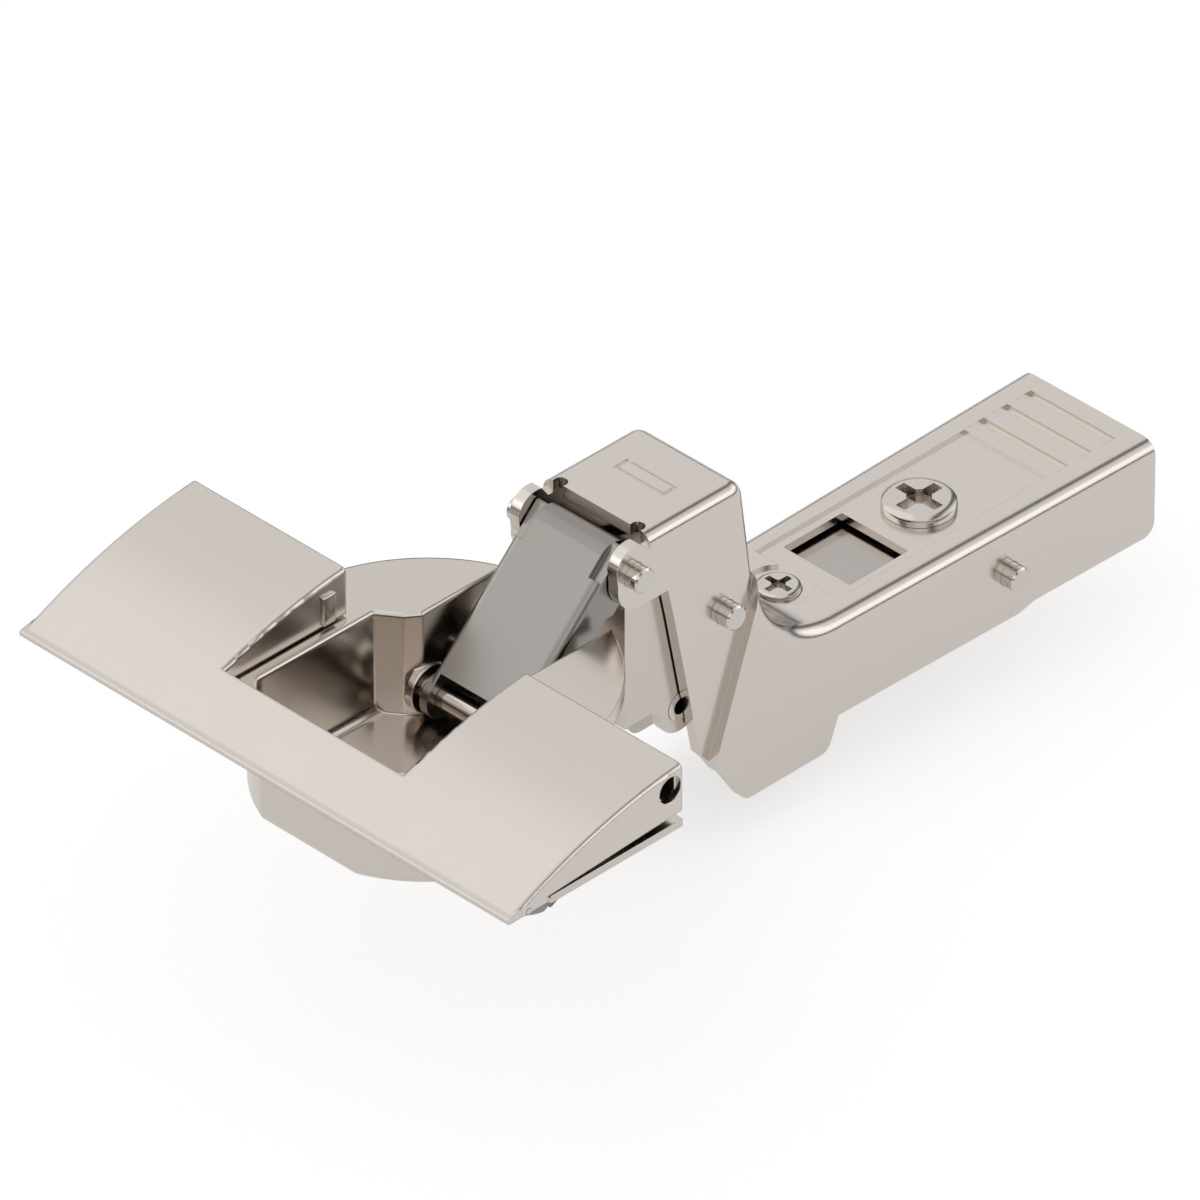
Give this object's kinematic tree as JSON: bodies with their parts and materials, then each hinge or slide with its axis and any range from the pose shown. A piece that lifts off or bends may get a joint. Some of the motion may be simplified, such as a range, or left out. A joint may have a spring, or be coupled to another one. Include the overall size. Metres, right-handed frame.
{
  "type": "concealed cup hinge",
  "caption": "Concealed cup hinge with a long cranked arm, links in a round cup, wings with spreading dowels under a locking lever, and a clip-on carrier.",
  "frame": {"origin": "centre of the cup at the door's face, the top end of the cup's boring", "axes": "+X along the arm at the drawn 90 degree opening, Y along the wings, +Z out of the door"},
  "size_m": [0.1136, 0.0666, 0.037],
  "materials": {
    "cup_diecast": "satin",
    "plated_sheet": "satin",
    "plated_arm": "satin",
    "plated_link": "satin",
    "pin_steel": "polished",
    "screw_steel": "satin",
    "dowel_plastic": "matte",
    "spring_steel": "satin"
  },
  "bodies": {
    "cup": {"hinge_cup": "cup_diecast", "base_plate": "plated_sheet", "dowel_left": "dowel_plastic", "dowel_right": "dowel_plastic", "outer_cup_pin": "pin_steel", "inner_cup_pin": "pin_steel", "lever_pin_left": "pin_steel", "lever_pin_right": "pin_steel"},
    "lever": {"locking_lever": "plated_sheet"},
    "spreader_left": {"spreader_left": "pin_steel"},
    "spreader_right": {"spreader_right": "pin_steel"},
    "outer_link": {"outer_link": "plated_link"},
    "inner_link": {"inner_link": "plated_link", "link_rivet": "pin_steel"},
    "arm": {"hinge_arm": "plated_arm", "nose_pin": "pin_steel", "rear_pin": "pin_steel", "clip_pin": "pin_steel"},
    "carrier": {"clip_carrier": "plated_sheet", "clip_rivet": "pin_steel", "clip_spring": "spring_steel"},
    "depth_cam": {"depth_cam": "screw_steel"},
    "side_screw": {"side_screw": "screw_steel"},
    "release": {"clip_lever": "plated_sheet"}
  },
  "joints": [
    {"name": "main_swing", "type": "hinge", "parent": "cup", "child": "outer_link", "pos_m": [0.0071, 0, -0.0072], "axis": [0, 1, 0], "range_deg": [-112, 6.25]},
    {"name": "inner_swing", "type": "hinge", "parent": "cup", "child": "inner_link", "pos_m": [0.012, 0, -0.0062], "axis": [0, 1, 0], "range_deg": [-119.5, 6.7]},
    {"name": "arm_turn", "type": "hinge", "parent": "outer_link", "child": "arm", "pos_m": [0.02075, 0, 0.00635], "axis": [0, 1, 0], "range_deg": [-1.3, 22.6]},
    {"name": "lever_tilt", "type": "hinge", "parent": "cup", "child": "lever", "pos_m": [-0.0193, 0, 0.00055], "axis": [0, 1, 0], "range_deg": [-12, 0]},
    {"name": "spreader_left_lift", "type": "slide", "parent": "cup", "child": "spreader_left", "axis": [0, 0, 1], "range_m": [0, 0.00136]},
    {"name": "spreader_right_lift", "type": "slide", "parent": "cup", "child": "spreader_right", "axis": [0, 0, 1], "range_m": [0, 0.00136]},
    {"name": "cam_turn", "type": "hinge", "parent": "arm", "child": "depth_cam", "pos_m": [0.06765, 0, -0.012], "axis": [0, 0, 1], "range_deg": [-135, 135]},
    {"name": "depth_slide", "type": "slide", "parent": "arm", "child": "carrier", "axis": [1, 0, 0], "range_m": [-0.0015, 0.0015]},
    {"name": "side_screw_turn", "type": "hinge", "parent": "arm", "child": "side_screw", "pos_m": [0.048, 0, -0.012], "axis": [0, 0, 1], "range_deg": [-180, 180]},
    {"name": "release_press", "type": "hinge", "parent": "carrier", "child": "release", "pos_m": [0.079, 0, -0.0185], "axis": [0, 1, 0], "range_deg": [-8, 0], "stiffness_Nm_per_rad": 0.02}
  ],
  "couplings": [
    {"joint": "inner_swing", "follows": "main_swing", "ratio": 1.06},
    {"joint": "arm_turn", "follows": "main_swing", "ratio": -0.2},
    {"joint": "lever_tilt", "follows": "spreader_left_lift", "rad_per_m": -153.8},
    {"joint": "spreader_right_lift", "follows": "spreader_left_lift", "ratio": 1},
    {"joint": "cam_turn", "follows": "depth_slide", "rad_per_m": 1570}
  ]
}
